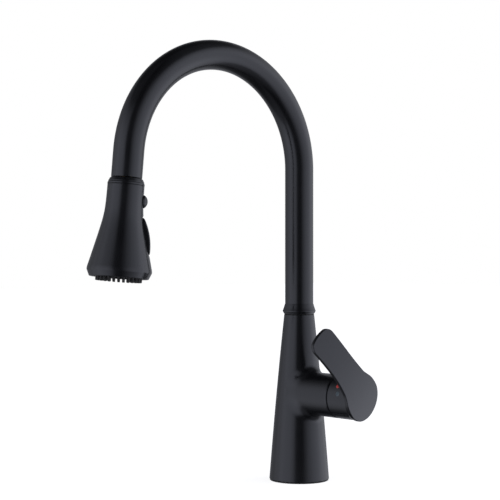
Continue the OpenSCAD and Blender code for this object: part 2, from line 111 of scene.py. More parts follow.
def head_place():
    """The spray head's frame: its reference plane at 0, the head hanging towards -Z, its buttons at +Y."""
    out = np.array(JOINTS["spray_head_pull"]["axis"])
    swivel_depth = 12
    mouth = 1000 * np.array(JOINTS["spray_head_swivel"]["pos_m"]) - swivel_depth * out
    x_axis = np.array(JOINTS["spray_rocker_tilt"]["axis"])
    return place(x_axis, np.cross(-out, x_axis), -out, mouth)


def lever_place():
    """The lever's frame: the tilt centre at 0, X along the lever and Z out along the valve's axis."""
    pivot = 1000 * np.array(JOINTS["flow_tilt"]["pos_m"])
    return place(JOINTS["disc_slide"]["axis"], -np.array(JOINTS["flow_tilt"]["axis"]), [1, 0, 0], pivot)


HEAD = head_place()
LEVER = lever_place()
PIVOT = LEVER[:3, 3]
WORLD = np.eye(4)

# --- Mesh tools ----------------------------------------------------------------------------------


def add_mesh(name, verts, faces, at=WORLD, normals=None, crease=40):
    """A mesh object from points in millimetres. Edges sharper than crease, in degrees, stay sharp."""
    verts = np.asarray(verts, float) @ at[:3, :3].T + at[:3, 3]
    mesh = bpy.data.meshes.new(name)
    mesh.from_pydata((verts * MM).tolist(), [], [tuple(map(int, f)) for f in faces])
    mesh.validate()
    mesh.update()
    mesh.shade_smooth()
    if normals is None:
        mesh.set_sharp_from_angle(angle=math.radians(crease))
    else:
        mesh.normals_split_custom_set_from_vertices((normals @ at[:3, :3].T).tolist())
    piece = bpy.data.objects.new(name, mesh)
    bpy.context.scene.collection.objects.link(piece)
    return piece


def union_round(a, b, r):
    """Union of two distance fields, with a fillet of radius r."""
    return np.maximum(r, np.minimum(a, b)) - np.hypot(np.maximum(r - a, 0), np.maximum(r - b, 0))


def roll_union(a, b, across, reach, most):
    """Union of two distance fields with a rolled fillet, where across is the cosine of their normals. The
    fillet reaches equally far over both surfaces wherever its radius stays below the most allowed."""
    across = np.clip(across, -0.95, 0.99)
    r = np.minimum(reach * np.sqrt((1 + across) / (1 - across)), most)
    spread = 1 - across * across
    u, v = r - a, r - b
    along_a = (u - across * v) / spread
    along_b = (v - across * u) / spread
    to_centre = along_a * along_a + along_b * along_b + 2 * along_a * along_b * across
    fillet = r - np.sqrt(np.maximum(to_centre, 0))
    plain = np.where(along_a < 0, np.where(along_b < 0, np.minimum(a, b), b), a)
    return np.where((along_a > 0) & (along_b > 0), fillet, plain)


def meet_round(a, b, r):
    """Intersection of two distance fields, with its edge rounded to radius r."""
    return np.minimum(-r, np.maximum(a, b)) + np.hypot(np.maximum(r + a, 0), np.maximum(r + b, 0))


def cut_round(a, b, r):
    """The first field with the second cut out of it, with the edge rounded to radius r."""
    return meet_round(a, -b, r)


def rounded_box(u, v, half_u, half_v, r):
    """Distance from a rectangle with round corners."""
    du = np.abs(u) - half_u + r
    dv = np.abs(v) - half_v + r
    return np.minimum(np.maximum(du, dv), 0) + np.hypot(np.maximum(du, 0), np.maximum(dv, 0)) - r


def slope(field, p):
    """Gradient of a distance field."""
    h = 0.01
    return np.stack([(field(p + h * e) - field(p - h * e)) / (2 * h) for e in np.eye(3)], -1)


def settle(field, p, rounds=1):
    """Moves points on to the surface where the field is zero."""
    for _ in range(rounds):
        g = slope(field, p)
        step = field(p) / np.maximum((g * g).sum(-1), 0.05)
        p = p - np.clip(step, -1, 1)[:, None] * g
    return p


def surface_net(field, low, high, cell):
    """Points and quads of the surface where the field is zero, with one point in each cell crossed."""
    axes = [np.arange(lo - 1.5 * cell, hi + 2.5 * cell, cell) for lo, hi in zip(low, high)]
    grid = np.stack(np.meshgrid(*axes, indexing="ij"), -1)
    value = field(grid.reshape(-1, 3)).reshape(grid.shape[:3])
    inside = value < 0
    cells = np.array(inside.shape) - 1
    total, count = np.zeros((*cells, 3)), np.zeros(cells)
    quads = []
    crossings = []
    for axis in range(3):
        a = [slice(None)] * 3
        b = [slice(None)] * 3
        a[axis], b[axis] = slice(0, -1), slice(1, None)
        a, b = tuple(a), tuple(b)
        at = np.argwhere(inside[a] != inside[b])
        va = value[a][tuple(at.T)]
        vb = value[b][tuple(at.T)]
        point = grid[a][tuple(at.T)]
        point[:, axis] += cell * va / (va - vb)
        others = [k for k in range(3) if k != axis]
        around = []
        for i, j in [(-1, -1), (0, -1), (0, 0), (-1, 0)]:
            c = at.copy()
            c[:, others[0]] += i
            c[:, others[1]] += j
            np.add.at(total, tuple(c.T), point)
            np.add.at(count, tuple(c.T), 1)
            around.append(c)
        flip = (va < 0) == (axis == 1)
        crossings.append((around, flip))
    number = -np.ones(cells, int)
    used = count > 0
    number[used] = np.arange(used.sum())
    for around, flip in crossings:
        ids = np.stack([number[tuple(c.T)] for c in around], -1)
        ids[flip] = ids[flip][:, ::-1]
        quads.append(ids)
    return total[used] / count[used][:, None], np.concatenate(quads)


def relax(p, quads):
    """Points moved half way to the mean of their neighbours."""
    total, count = np.zeros_like(p), np.zeros(len(p))
    for k in range(4):
        a, b = quads[:, k], quads[:, (k + 1) % 4]
        np.add.at(total, a, p[b])
        np.add.at(total, b, p[a])
        np.add.at(count, a, 1)
        np.add.at(count, b, 1)
    return 0.5 * p + 0.5 * total / np.maximum(count, 1)[:, None]


SMOOTHING_ROUNDS = 7


def add_solid(name, field, low, high, cell, at=WORLD):
    """A mesh of the solid where a distance field is below zero, with the field's own smooth normals."""
    p, quads = surface_net(field, low, high, cell)
    p = settle(field, p, 2)
    for _ in range(SMOOTHING_ROUNDS):
        p = settle(field, relax(p, quads))
    p = settle(field, p, 2)
    normals = slope(field, p)
    normals /= np.maximum(np.linalg.norm(normals, axis=-1), 1e-9)[:, None]
    return add_mesh(name, p, quads, at, normals)


def soften(corners, radius, steps=5):
    """A closed outline with every corner turned into an arc of up to that radius."""
    corners = np.asarray(corners, float)
    n = len(corners)
    out = []
    for i in range(n):
        here = corners[i]
        to_last, to_next = corners[i - 1] - here, corners[(i + 1) % n] - here
        len_last, len_next = np.linalg.norm(to_last), np.linalg.norm(to_next)
        to_last, to_next = to_last / len_last, to_next / len_next
        half = math.acos(float(np.clip(to_last @ to_next, -1, 1))) / 2
        if half > math.radians(86):
            out.append(here)
            continue
        reach = min(radius / math.tan(half), 0.45 * len_last, 0.45 * len_next)
        r = reach * math.tan(half)
        centre = here + (to_last + to_next) / np.linalg.norm(to_last + to_next) * r / math.sin(half)
        start, end = here + to_last * reach - centre, here + to_next * reach - centre
        turn = math.pi - 2 * half
        for k in range(steps + 1):
            f = k / steps
            w = np.array([math.sin((1 - f) * turn), math.sin(f * turn)]) / math.sin(turn)
            out.append(centre + w[0] * start + w[1] * end)
    return np.array(out)


def lathe(name, outline, at=WORLD, sides=160, crease=40):
    """A closed outline of (radius, height) turned about the local Z axis."""
    outline = np.asarray(outline, float)
    n = len(outline)
    area = np.sum(outline[:, 0] * np.roll(outline[:, 1], -1) - np.roll(outline[:, 0], -1) * outline[:, 1])
    if area < 0:
        outline = outline[::-1]
    angle = 2 * np.pi * np.arange(sides) / sides
    verts = np.stack([
        np.outer(np.cos(angle), outline[:, 0]),
        np.outer(np.sin(angle), outline[:, 0]),
        np.tile(outline[:, 1], (sides, 1))], -1).reshape(-1, 3)
    faces = []
    for i in range(sides):
        j = (i + 1) % sides
        for k in range(n):
            m = (k + 1) % n
            faces.append((i * n + k, j * n + k, j * n + m, i * n + m))
    return add_mesh(name, verts, faces, at, crease=crease)


def join(name, parts):
    """One object from several meshes."""
    with bpy.context.temp_override(active_object=parts[0], selected_editable_objects=parts):
        bpy.ops.object.join()
    parts[0].name = name
    parts[0].data.name = name
    return parts[0]


# --- Materials -----------------------------------------------------------------------------------


class Nodes:
    """A node material, with one short call for each kind of node."""

    def __init__(self, name):
        self.material = bpy.data.materials.new(name)
        self.material.use_nodes = True
        self.tree = self.material.node_tree
        self.shader = self.tree.nodes["Principled BSDF"]
        self.place = self.add("ShaderNodeTexCoord").outputs["Object"]

    def add(self, kind, **settings):
        node = self.tree.nodes.new(kind)
        for key, value in settings.items():
            setattr(node, key, value)
        return node

    def link(self, out, into):
        self.tree.links.new(out, into)

    def set(self, **values):
        for key, value in values.items():
            self.shader.inputs[key.replace("_", " ")].default_value = value

    def noise(self, scale, detail=2.0, stretch=None):
        """Noise with so many blobs to the metre."""
        node = self.add("ShaderNodeTexNoise")
        node.inputs["Scale"].default_value = scale
        node.inputs["Detail"].default_value = detail
        source = self.place
        if stretch:
            mapping = self.add("ShaderNodeMapping")
            mapping.inputs["Scale"].default_value = stretch
            self.link(source, mapping.inputs["Vector"])
            source = mapping.outputs["Vector"]
        self.link(source, node.inputs["Vector"])
        return node.outputs["Fac"]

    def ramp(self, value, stops):
        node = self.add("ShaderNodeValToRGB")
        band = node.color_ramp
        while len(band.elements) < len(stops):
            band.elements.new(0.5)
        for element, (position, colour) in zip(band.elements, stops):
            element.position = position
            element.color = (*colour, 1) if not isinstance(colour, float) else (colour, colour, colour, 1)
        self.link(value, node.inputs["Fac"])
        return node.outputs["Color"]

    def spread(self, value, low, high):
        """A value from 0 to 1 spread between two numbers."""
        node = self.add("ShaderNodeMapRange")
        node.inputs["From Min"].default_value = 0.3
        node.inputs["From Max"].default_value = 0.7
        node.inputs["To Min"].default_value = low
        node.inputs["To Max"].default_value = high
        self.link(value, node.inputs["Value"])
        return node.outputs["Result"]

    def mix(self, factor, a, b):
        node = self.add("ShaderNodeMix", data_type="RGBA")
        self.link(factor, node.inputs["Factor"])
        for socket, source in (("A", a), ("B", b)):
            inputs = [i for i in node.inputs if i.name == socket and i.type == "RGBA"]
            if isinstance(source, tuple):
                inputs[0].default_value = (*source, 1)
            else:
                self.link(source, inputs[0])
        return [o for o in node.outputs if o.type == "RGBA"][0]

    def bump(self, value, height, strength=1.0, under=None):
        """Bump of a height in metres, over any bump already made."""
        node = self.add("ShaderNodeBump")
        node.inputs["Distance"].default_value = height
        node.inputs["Strength"].default_value = strength
        self.link(value, node.inputs["Height"])
        if under is not None:
            self.link(under, node.inputs["Normal"])
        return node.outputs["Normal"]

    def edges(self, start, end):
        """0 on flat faces and 1 on sharp outer edges."""
        point = self.add("ShaderNodeNewGeometry").outputs["Pointiness"]
        return self.ramp(point, [(start, 0.0), (end, 1.0)])

    def to(self, **sources):
        for key, source in sources.items():
            self.link(source, self.shader.inputs[key.replace("_", " ")])
        return self.material


def coated(name, colour, edge_highlight_colour, roughness):
    """Satin coat on metal: fine orange peel, faint cloudiness, and a painted highlight that lightens the colour on
    sharp outer edges.
    """
    m = Nodes(name)
    m.set(IOR=1.5, Specular_Tint=(0.9, 0.92, 1.0, 1))
    cloud = m.noise(60, 3)
    grain = m.noise(1500, 2)
    # Painted highlight: the colour turns lighter on sharp outer edges, found by pointiness.
    edge_highlight = m.edges(0.57, 0.68)
    lighter = tuple(c * 1.18 for c in colour)
    base = m.mix(edge_highlight, m.ramp(cloud, [(0.35, colour), (0.65, lighter)]), edge_highlight_colour)
    rough = m.spread(cloud, roughness - 0.025, roughness + 0.025)
    peel = m.bump(grain, 0.00002, 0.35)
    peel = m.bump(m.noise(420, 1), 0.00005, 0.18, peel)
    return m.to(Base_Color=base, Roughness=rough, Normal=peel)


def moulded(name, colour, roughness, grain_size=2200, depth=0.00003):
    """Moulded plastic: a spark grain and slight changes of gloss."""
    m = Nodes(name)
    m.set(IOR=1.46)
    cloud = m.noise(45, 2)
    darker = tuple(c * 0.86 for c in colour)
    base = m.ramp(cloud, [(0.3, darker), (0.7, colour)])
    rough = m.spread(m.noise(260, 2), roughness - 0.04, roughness + 0.04)
    return m.to(Base_Color=base, Roughness=rough, Normal=m.bump(m.noise(grain_size, 2), depth, 0.5))


def rubbery(name, colour):
    """Matte rubber with a little bloom."""
    m = Nodes(name)
    m.set(IOR=1.5)
    bloom = m.noise(160, 4)
    pale = tuple(c * 1.6 + 0.004 for c in colour)
    base = m.ramp(bloom, [(0.45, colour), (0.75, pale)])
    rough = m.spread(bloom, 0.62, 0.78)
    return m.to(Base_Color=base, Roughness=rough, Normal=m.bump(m.noise(900, 3), 0.00006, 0.4))


def machined(name, colour, roughness, stretch):
    """Bare turned or brushed metal, with fine tool marks across the stretch."""
    m = Nodes(name)
    m.set(Metallic=1.0)
    lines = m.noise(900, 4, stretch)
    stain = m.noise(70, 3)
    dull = tuple(c * 0.8 for c in colour)
    base = m.ramp(stain, [(0.35, dull), (0.6, colour)])
    rough = m.spread(lines, roughness - 0.07, roughness + 0.07)
    return m.to(Base_Color=base, Roughness=rough, Normal=m.bump(lines, 0.00003, 0.5))


def fired(name, colour):
    """Ground ceramic: smooth, with a very fine speckle."""
    m = Nodes(name)
    m.set(IOR=1.75)
    speck = m.noise(2600, 2)
    base = m.ramp(speck, [(0.3, tuple(c * 0.93 for c in colour)), (0.7, colour)])
    rough = m.spread(m.noise(300, 2), 0.16, 0.24)
    return m.to(Base_Color=base, Roughness=rough, Normal=m.bump(speck, 0.000008, 0.3))


def enamel(name, colour):
    """A drop of glossy enamel."""
    m = Nodes(name)
    m.set(IOR=1.5, Coat_Weight=0.3)
    flow = m.noise(900, 2)
    base = m.ramp(flow, [(0.3, tuple(c * 0.85 for c in colour)), (0.7, colour)])
    rough = m.spread(flow, 0.24, 0.32)
    return m.to(Base_Color=base, Roughness=rough, Normal=m.bump(flow, 0.00002, 0.3))


def braided(name):
    """Nylon braid: two sets of strands that cross, about the hose's own axis."""
    m = Nodes(name)
    m.set(Sheen_Weight=0.2)
    strands = 10
    pitch = 14.0
    mapping = m.add("ShaderNodeMapping", vector_type="TEXTURE")
    mapping.inputs["Location"].default_value = HEAD[:3, 3] * MM
    mapping.inputs["Rotation"].default_value = (-TILT, 0, 0)
    m.link(m.place, mapping.inputs["Vector"])
    split = m.add("ShaderNodeSeparateXYZ")
    m.link(mapping.outputs["Vector"], split.inputs["Vector"])
    angle = m.add("ShaderNodeMath", operation="ARCTAN2")
    m.link(split.outputs["Y"], angle.inputs[0])
    m.link(split.outputs["X"], angle.inputs[1])
    heights = []
    for side in (1, -1):
        along = m.add("ShaderNodeMath", operation="MULTIPLY")
        along.inputs[1].default_value = side * 2 * math.pi * strands / (pitch * MM)
        m.link(split.outputs["Z"], along.inputs[0])
        around = m.add("ShaderNodeMath", operation="MULTIPLY_ADD")
        around.inputs[1].default_value = strands
        m.link(angle.outputs[0], around.inputs[0])
        m.link(along.outputs[0], around.inputs[2])
        wave = m.add("ShaderNodeMath", operation="SINE")
        m.link(around.outputs[0], wave.inputs[0])
        heights.append(wave.outputs[0])
    top = m.add("ShaderNodeMath", operation="MAXIMUM")
    m.link(heights[0], top.inputs[0])
    m.link(heights[1], top.inputs[1])
    weave = m.add("ShaderNodeMapRange")
    weave.inputs["From Min"].default_value = -0.6
    m.link(top.outputs[0], weave.inputs["Value"])
    base = m.ramp(weave.outputs["Result"], [(0.1, (0.02, 0.02, 0.022)), (0.85, (0.17, 0.17, 0.18))])
    rough = m.spread(weave.outputs["Result"], 0.75, 0.5)
    return m.to(Base_Color=base, Roughness=rough, Normal=m.bump(weave.outputs["Result"], 0.0004, 0.8))


MATERIALS = {
    "matte_black": coated("satin_black_coat", (0.0064, 0.0066, 0.0074), (0.03, 0.03, 0.032), 0.22),
    "black_plastic": moulded("black_moulded_plastic", (0.016, 0.016, 0.0175), 0.5),
    "black_rubber": rubbery("black_rubber", (0.012, 0.012, 0.0125)),
    "brass": machined("machined_brass", (0.72, 0.52, 0.25), 0.3, (1, 1, 9)),
    "steel": machined("brushed_steel", (0.58, 0.58, 0.59), 0.3, (1, 1, 12)),
    "white_plastic": moulded("white_acetal", (0.78, 0.78, 0.75), 0.42),
    "ceramic": fired("lapped_ceramic", (0.85, 0.83, 0.79)),
    "hose_braid": braided("nylon_braid"),
    "hot_red": enamel("red_enamel", (0.60, 0.022, 0.012)),
    "cold_blue": enamel("teal_enamel", (0.009, 0.034, 0.052)),
}


def finish_piece(piece, slot, body, *nodes):
    """Gives a piece its material, its body and the CAD nodes that it stands for."""
    piece.data.materials.clear()
    piece.data.materials.append(MATERIALS[slot])
    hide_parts(*nodes)
    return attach(piece, body)


def paint_cad_nodes():
    """The CAD nodes that stay get the material of their slot."""
    slots = {s["node"]: s["material_slot"] for s in frame["record"]["subparts"]}
    for name, node in frame["nodes"].items():
        node.data.materials.clear()
        node.data.materials.append(MATERIALS[slots[name]])


# --- Body ----------------------------------------------------------------------------------------


def body_radius(z):
    """Radius of the tapered body at height z."""
    return BODY_R - BODY_TAPER * z - BODY_CURVE * z * z


def body_field(p):
    """Distance field of the body with its valve boss and bores."""
    x, y, z = p.T
    r = np.hypot(x, y)
    lean = 1 / math.hypot(1, BODY_TAPER)
    side = (r - body_radius(z)) * lean
    from_valve = np.hypot(y, z - PIVOT[2])
    boss = np.maximum(from_valve - BOSS_R, -x)
    slant = (y / np.maximum(r, 1) * y + BODY_TAPER * (z - PIVOT[2])) * lean / np.maximum(from_valve, 1)
    shape = roll_union(side, boss, slant, BOSS_FILLET, 60)
    ball = np.linalg.norm(p - PIVOT, axis=-1) - BALL_R
    shape = meet_round(shape, np.where(x > PIVOT[0] + 6, ball, -10), 0.6)
    shape = meet_round(shape, GASKET_TOP - z, 0.35)
    shape = meet_round(shape, z - BODY_TOP, 0.3)
    cavity = np.maximum(side + BODY_WALL, np.maximum(FLOOR_TOP - z, z - NECK_BORE_Z))
    cavity = np.maximum(cavity, np.minimum(x - POCKET_X + 4, VALVE_BLOCK_TOP - z))
    neck = np.maximum(r - NECK_BORE_R, NECK_BORE_Z - 4 - z)
    shank = np.maximum(r - SHANK_R, z - FLOOR_TOP - 1)
    pocket = np.maximum(from_valve - POCKET_R, POCKET_X - x)
    for hollow in (cavity, neck, shank, pocket):
        shape = cut_round(shape, hollow, 0.3)
    return shape


def make_body():
    piece = add_solid("body_casting", body_field, (-30, -30, GASKET_TOP), (62, 30, BODY_TOP), 0.85)
    finish_piece(piece, "matte_black", "base", "faucet_body")
    foot_r = body_radius(0) - 0.7
    foot = lathe("foot_gasket", soften([
        [SHANK_R + 0.6, 0], [foot_r, 0], [foot_r + 0.15, GASKET_TOP * 0.5],
        [foot_r, GASKET_TOP], [SHANK_R + 0.6, GASKET_TOP]], 0.25))
    finish_piece(foot, "black_rubber", "base", "base_gasket")


# --- Spout ---------------------------------------------------------------------------------------


def spout_centre(distance):
    """Point and direction on the spout's centreline, at a distance from the deck along it."""
    arch_len = ARCH_R * (math.pi - TILT)
    if distance <= ARCH_Z:
        return np.array([0, 0, distance]), np.array([0, 0, 1.0])
    if distance <= ARCH_Z + arch_len:
        a = (distance - ARCH_Z) / ARCH_R
        return (np.array([0, -ARCH_R + ARCH_R * math.cos(a), ARCH_Z + ARCH_R * math.sin(a)]),
                np.array([0, -math.sin(a), math.cos(a)]))
    start, direction = spout_centre(ARCH_Z + arch_len)
    return start + direction * (distance - ARCH_Z - arch_len), direction


def sweep(name, stations, sides):
    """A closed tube wall: each station is a distance along the spout and a radius."""
    angle = 2 * np.pi * np.arange(sides) / sides
    across = np.array([1.0, 0, 0])
    rings = []
    for distance, radius in stations:
        point, direction = spout_centre(distance)
        side = np.cross(direction, across)
        rings.append(point + radius * (np.outer(np.cos(angle), across) + np.outer(np.sin(angle), side)))
    n = len(rings)
    faces = []
    for i in range(n):
        j = (i + 1) % n
        for k in range(sides):
            m = (k + 1) % sides
            faces.append((i * sides + k, i * sides + m, j * sides + m, j * sides + k))
    return add_mesh(name, np.concatenate(rings), faces, crease=50)


def make_spout():
    foot = 1000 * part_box("spout_tube")[0].z
    arch_len = ARCH_R * (math.pi - TILT)
    end = ARCH_Z + arch_len + LEG - MOUTH_T
    lip = 0.5
    straight = list(np.linspace(foot, ARCH_Z, 30))
    arch = list(np.linspace(ARCH_Z, ARCH_Z + arch_len, 121))[1:]
    leg = list(np.linspace(ARCH_Z + arch_len, end - lip, 8))[1:]
    outer = [(s, TUBE_R) for s in straight + arch + leg]
    edge = [math.radians(a) for a in (22.5, 45, 67.5, 90)]
    rim = [(end - lip + lip * math.sin(a), TUBE_R - lip + lip * math.cos(a)) for a in edge]
    rim += [(end - lip + lip * math.cos(a), TUBE_BORE_R + lip - lip * math.sin(a)) for a in edge]
    inner = [(s, TUBE_BORE_R) for s in reversed(straight[::3] + arch[::3] + leg[::2])]
    piece = sweep("spout_skin", outer + rim + inner, 96)
    finish_piece(piece, "matte_black", "spout", "spout_tube")
    z = COLLAR_Z
    collar = lathe("turning_collar", soften([
        [14.05, z], [15.05, z], [15.35, z + 0.8], [16.1, z + 2.0], [16.4, z + 2.7], [16.4, z + 3.4],
        [16.1, z + 4.0], [15.15, z + 6.8], [14.45, z + 9.2], [14.15, z + 10.05], [14.05, z + 10.05]],
        0.45), sides=192)
    finish_piece(collar, "matte_black", "spout", "spout_collar")


# --- Spray head ----------------------------------------------------------------------------------


def bell_radius(t):
    """Radius of the bell at distance t below the head's reference plane."""
    neck_r, turn_t, softness = 16.35, 30.2, 10

    def rise(at):
        return (at - turn_t + np.hypot(at - turn_t, softness)) / 2

    return neck_r + (BELL_R - neck_r) * rise(t) / rise(BELL_T)


SHELL_T = 4.4
BUTTON_T = 18.2
BUTTON_R = 6.2
ROCKER_T = 49
ROCKER_HALF_L = 16.5
ROCKER_HALF_W = 7


def bell_field(p):
    """Distance field of the head's shell."""
    x, y, z = p.T
    t = -z
    r = np.hypot(x, y)
    rate = (bell_radius(t + 0.05) - bell_radius(t - 0.05)) / 0.1
    side = (r - bell_radius(t)) / np.hypot(1, rate)
    chamfer = (r - BELL_R) * 0.9169 + (t - BELL_T - 1) * 0.3993
    shape = meet_round(side, r - BELL_R, 0.5)
    shape = meet_round(shape, chamfer, 0.4)
    shape = meet_round(shape, t - HEAD_LEN, 0.5)
    shape = meet_round(shape, SHELL_T - t, 0.5)
    shape = cut_round(shape, r - np.minimum(bell_radius(t) - 2.2, 25.5), 0.3)
    slot = rounded_box(x, t - ROCKER_T, ROCKER_HALF_W + 0.4, ROCKER_HALF_L + 1.1, 5.8)
    shape = cut_round(shape, np.maximum(slot, -y), 0.4)
    hole = np.hypot(x, t - BUTTON_T) - BUTTON_R - 0.4
    return cut_round(shape, np.maximum(hole, -y), 0.4)


def rocker_field(p):
    """Distance field of the long button."""
    x, y, z = p.T
    t = -z
    crown_r, crown_y, crown_lean, sink = 60, 24.6, math.radians(12.5), 14.6
    u = np.cos(crown_lean) * (y - crown_y) + np.sin(crown_lean) * (z + ROCKER_T)
    v = -np.sin(crown_lean) * (y - crown_y) + np.cos(crown_lean) * (z + ROCKER_T)
    crown = np.hypot(u + crown_r, v) - crown_r
    outline = rounded_box(x, t - ROCKER_T, ROCKER_HALF_W, ROCKER_HALF_L, 5.4)
    shape = meet_round(outline, crown, 1.3)
    return meet_round(shape, sink - y, 0.3)


def pause_field(p):
    """Distance field of the round button."""
    x, y, z = p.T
    r = np.hypot(x, z + BUTTON_T)
    dome_r, proud = 7.1, 3.7
    top = bell_radius(BUTTON_T) + proud
    dome = np.sqrt(r * r + (y - top + dome_r) ** 2) - dome_r
    cap = meet_round(meet_round(r - BUTTON_R, dome, 0.8), 15.2 - y, 0.2)
    stem = np.maximum(r - 1.5, np.maximum(9.9 - y, y - 16))
    return np.minimum(cap, stem)


def nub(radius, top_t, tip_t):
    """Half outline of one soft nozzle, from its axis at the foot to its axis at the tip."""
    arc = [math.radians(a) for a in (0, 22.5, 45, 67.5)]
    soft = 0.45
    side = [[radius + 0.25, -top_t], [radius + 0.05, -top_t - 0.4]]
    tip = [[radius - soft + soft * math.cos(a), -tip_t + soft - soft * math.sin(a)] for a in arc]
    return side + tip + [[0.42, -tip_t], [0.36, -tip_t + 0.8], [0.001, -tip_t + 0.8]]


def make_nozzles():
    """All the nozzles of the spray face, each turned from one outline, as a single rubber mat."""
    rings = [(19.6, 28), (15.4, 22), (11.4, 16)]
    outline = np.array(nub(1.25, 86.2, 91.0))
    sides = 16
    angle = 2 * np.pi * np.arange(sides) / sides
    verts, faces = [], []
    n = len(outline)
    for ring_r, count in rings:
        for i in range(count):
            a = 2 * math.pi * i / count
            base = len(verts) * sides * n
            verts.append(np.stack([
                np.outer(np.cos(angle), outline[:, 0]) + ring_r * math.cos(a),
                np.outer(np.sin(angle), outline[:, 0]) + ring_r * math.sin(a),
                np.tile(outline[:, 1], (sides, 1))], -1).reshape(-1, 3))
            for s in range(sides):
                e = (s + 1) % sides
                faces += [(base + s * n + k, base + s * n + k + 1, base + e * n + k + 1, base + e * n + k)
                          for k in range(n - 1)]
            faces.append(tuple(base + s * n for s in range(sides)))
            faces.append(tuple(base + s * n + n - 1 for s in reversed(range(sides))))
    tips = add_mesh("nozzle_tips", np.concatenate(verts), faces, HEAD, crease=50)
    mat = lathe("nozzle_mat", soften([[8.4, -84.1], [21.1, -84.1], [21.1, -82.6], [8.4, -82.6]], 0.3), HEAD)
    return join("nozzle_mat", [mat, tips])


def make_head():
    shell = add_solid("bell_shell", bell_field, (-30, -30, -HEAD_LEN), (30, 30, -SHELL_T), 0.5, HEAD)
    finish_piece(shell, "matte_black", "spray_head", "head_shell")
    top = lathe("head_top_ring", soften([
        [13.55, 1.6], [14.25, 1.6], [14.9, 1.2], [16.2, -1.55], [16.2, -1.85], [16.0, -2.05], [16.2, -2.25],
        [16.6, -2.75], [16.75, -4.3], [14.2, -4.3], [14.2, -10], [13.55, -10]], 0.3), HEAD, sides=192)
    finish_piece(top, "matte_black", "spray_head", "head_collar")
    pad = add_solid("spray_toggle", rocker_field, (-7, 14, -66), (7, 27, -32), 0.45, HEAD)
    finish_piece(pad, "matte_black", "rocker", "spray_rocker")
    dome = add_solid("pause_dome", pause_field, (-7, 9.5, -25), (7, 21, -11), 0.35, HEAD)
    finish_piece(dome, "matte_black", "pause", "pause_button")
    rim = lathe("rim_ring", soften([
        [21.4, -86.4], [22.2, -87.2], [25.4, -87.2], [25.4, -80.2],
        [23.1, -80.2], [23.1, -80.4], [21.4, -80.4]],
        0.3), HEAD, sides=192)
    finish_piece(rim, "black_plastic", "spray_head", "face_ring")
    plate = lathe("spray_face", soften([
        [7.6, -87.3], [9, -87], [20.6, -87], [21.3, -86.6], [21.3, -84.2], [7.6, -84.2]], 0.35),
        HEAD, sides=192)
    finish_piece(plate, "black_plastic", "spray_head", "spray_plate")
    finish_piece(make_nozzles(), "black_rubber", "spray_head", "rubber_nozzles")


def make_pause_spring():
    """The coil behind the pause button, built at rest with a mesh of its own."""
    turns, coil_r, wire_r, inner, outer, per_turn, sides = 3.5, 2.6, 0.25, 11.5, 14.6, 32, 10
    steps = int(turns * per_turn)
    around = 2 * np.pi * np.arange(sides) / sides
    verts, faces = [], []
    for i in range(steps + 1):
        a = 2 * math.pi * i / per_turn
        r = coil_r + wire_r * np.cos(around)
        y = inner + (outer - inner) * i / steps + wire_r * np.sin(around)
        verts.append(np.stack([r * math.cos(a), y, -BUTTON_T - r * math.sin(a)], -1))
    for i in range(steps):
        for k in range(sides):
            m = (k + 1) % sides
            faces.append((i * sides + k, (i + 1) * sides + k, (i + 1) * sides + m, i * sides + m))
    faces.append(tuple(range(sides)))
    faces.append(tuple(steps * sides + k for k in reversed(range(sides))))
    piece = add_mesh("pause_coil", np.concatenate(verts), faces, HEAD, crease=60)
    finish_piece(piece, "steel", "spray_head", "pause_spring")
    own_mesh(piece)


def make_run_out():
    """The braided hose that the head pulls out of the spout, built at its rest length."""
    top, bottom = 27, 14
    r, bore, sides, rings = 6.0, 3.5, 48, 180
    angle = 2 * np.pi * np.arange(sides) / sides
    levels = [(r, t) for t in np.linspace(top, bottom, rings)] + [(bore, bottom), (bore, top)]
    verts = [np.stack([q * np.cos(angle), q * np.sin(angle), np.full(sides, t)], -1) for q, t in levels]
    n = len(levels)
    faces = []
    for i in range(n):
        j = (i + 1) % n
        for k in range(sides):
            m = (k + 1) % sides
            faces.append((i * sides + k, j * sides + k, j * sides + m, i * sides + m))
    piece = add_mesh("braided_run_out", np.concatenate(verts), faces, HEAD, crease=50)
    piece.data.materials.append(MATERIALS["hose_braid"])
    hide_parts("hose_run_out")
    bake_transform(piece)


# --- Lever ---------------------------------------------------------------------------------------


def lever_half_width(s):
    """Half width of the lever at distance s from the valve's axis."""
    waist, hub_part, tip_part = 50, BOSS_R - LEVER_HALF, 0.6
    return LEVER_HALF + np.where(s < waist, hub_part * ((waist - s) / waist) ** 2,
                                 tip_part * ((s - waist) / 30) ** 2)


def lever_field(p):
    """Distance field of the lever with its hub."""
    s, w, v = p.T
    centre_v = FACE_X - PIVOT[0] - FACE_R
    face = np.hypot(s - FACE_S, v - centre_v) - FACE_R
    r = np.hypot(s, w)
    tip_r, corner = 42, 6
    tip = np.hypot(s - LEVER_LEN + tip_r, w) - tip_r
    outline = meet_round(np.abs(w) - lever_half_width(np.clip(s, 0, LEVER_LEN)), tip, corner)
    outline = np.maximum(outline, -s)
    outline = union_round(outline, r - BOSS_R, 7)
    blade = meet_round(outline, -(face + BLADE_T), 0.9)
    core = union_round(r - BOSS_R, blade, 2.5)
    shape = meet_round(core, face, 0.7)
    shape = cut_round(shape, np.linalg.norm(p, axis=-1) - BALL_R - 1.35, 0.7)
    hollow = np.maximum(np.maximum(r - BOSS_R + 3, 8.5 - r), v - 43)
    shape = cut_round(shape, hollow, 0.5)
    screw_v = 34
    hole = np.maximum(np.hypot(w, v - screw_v) - 3.3, s + 17)
    return cut_round(shape, hole, 0.25)


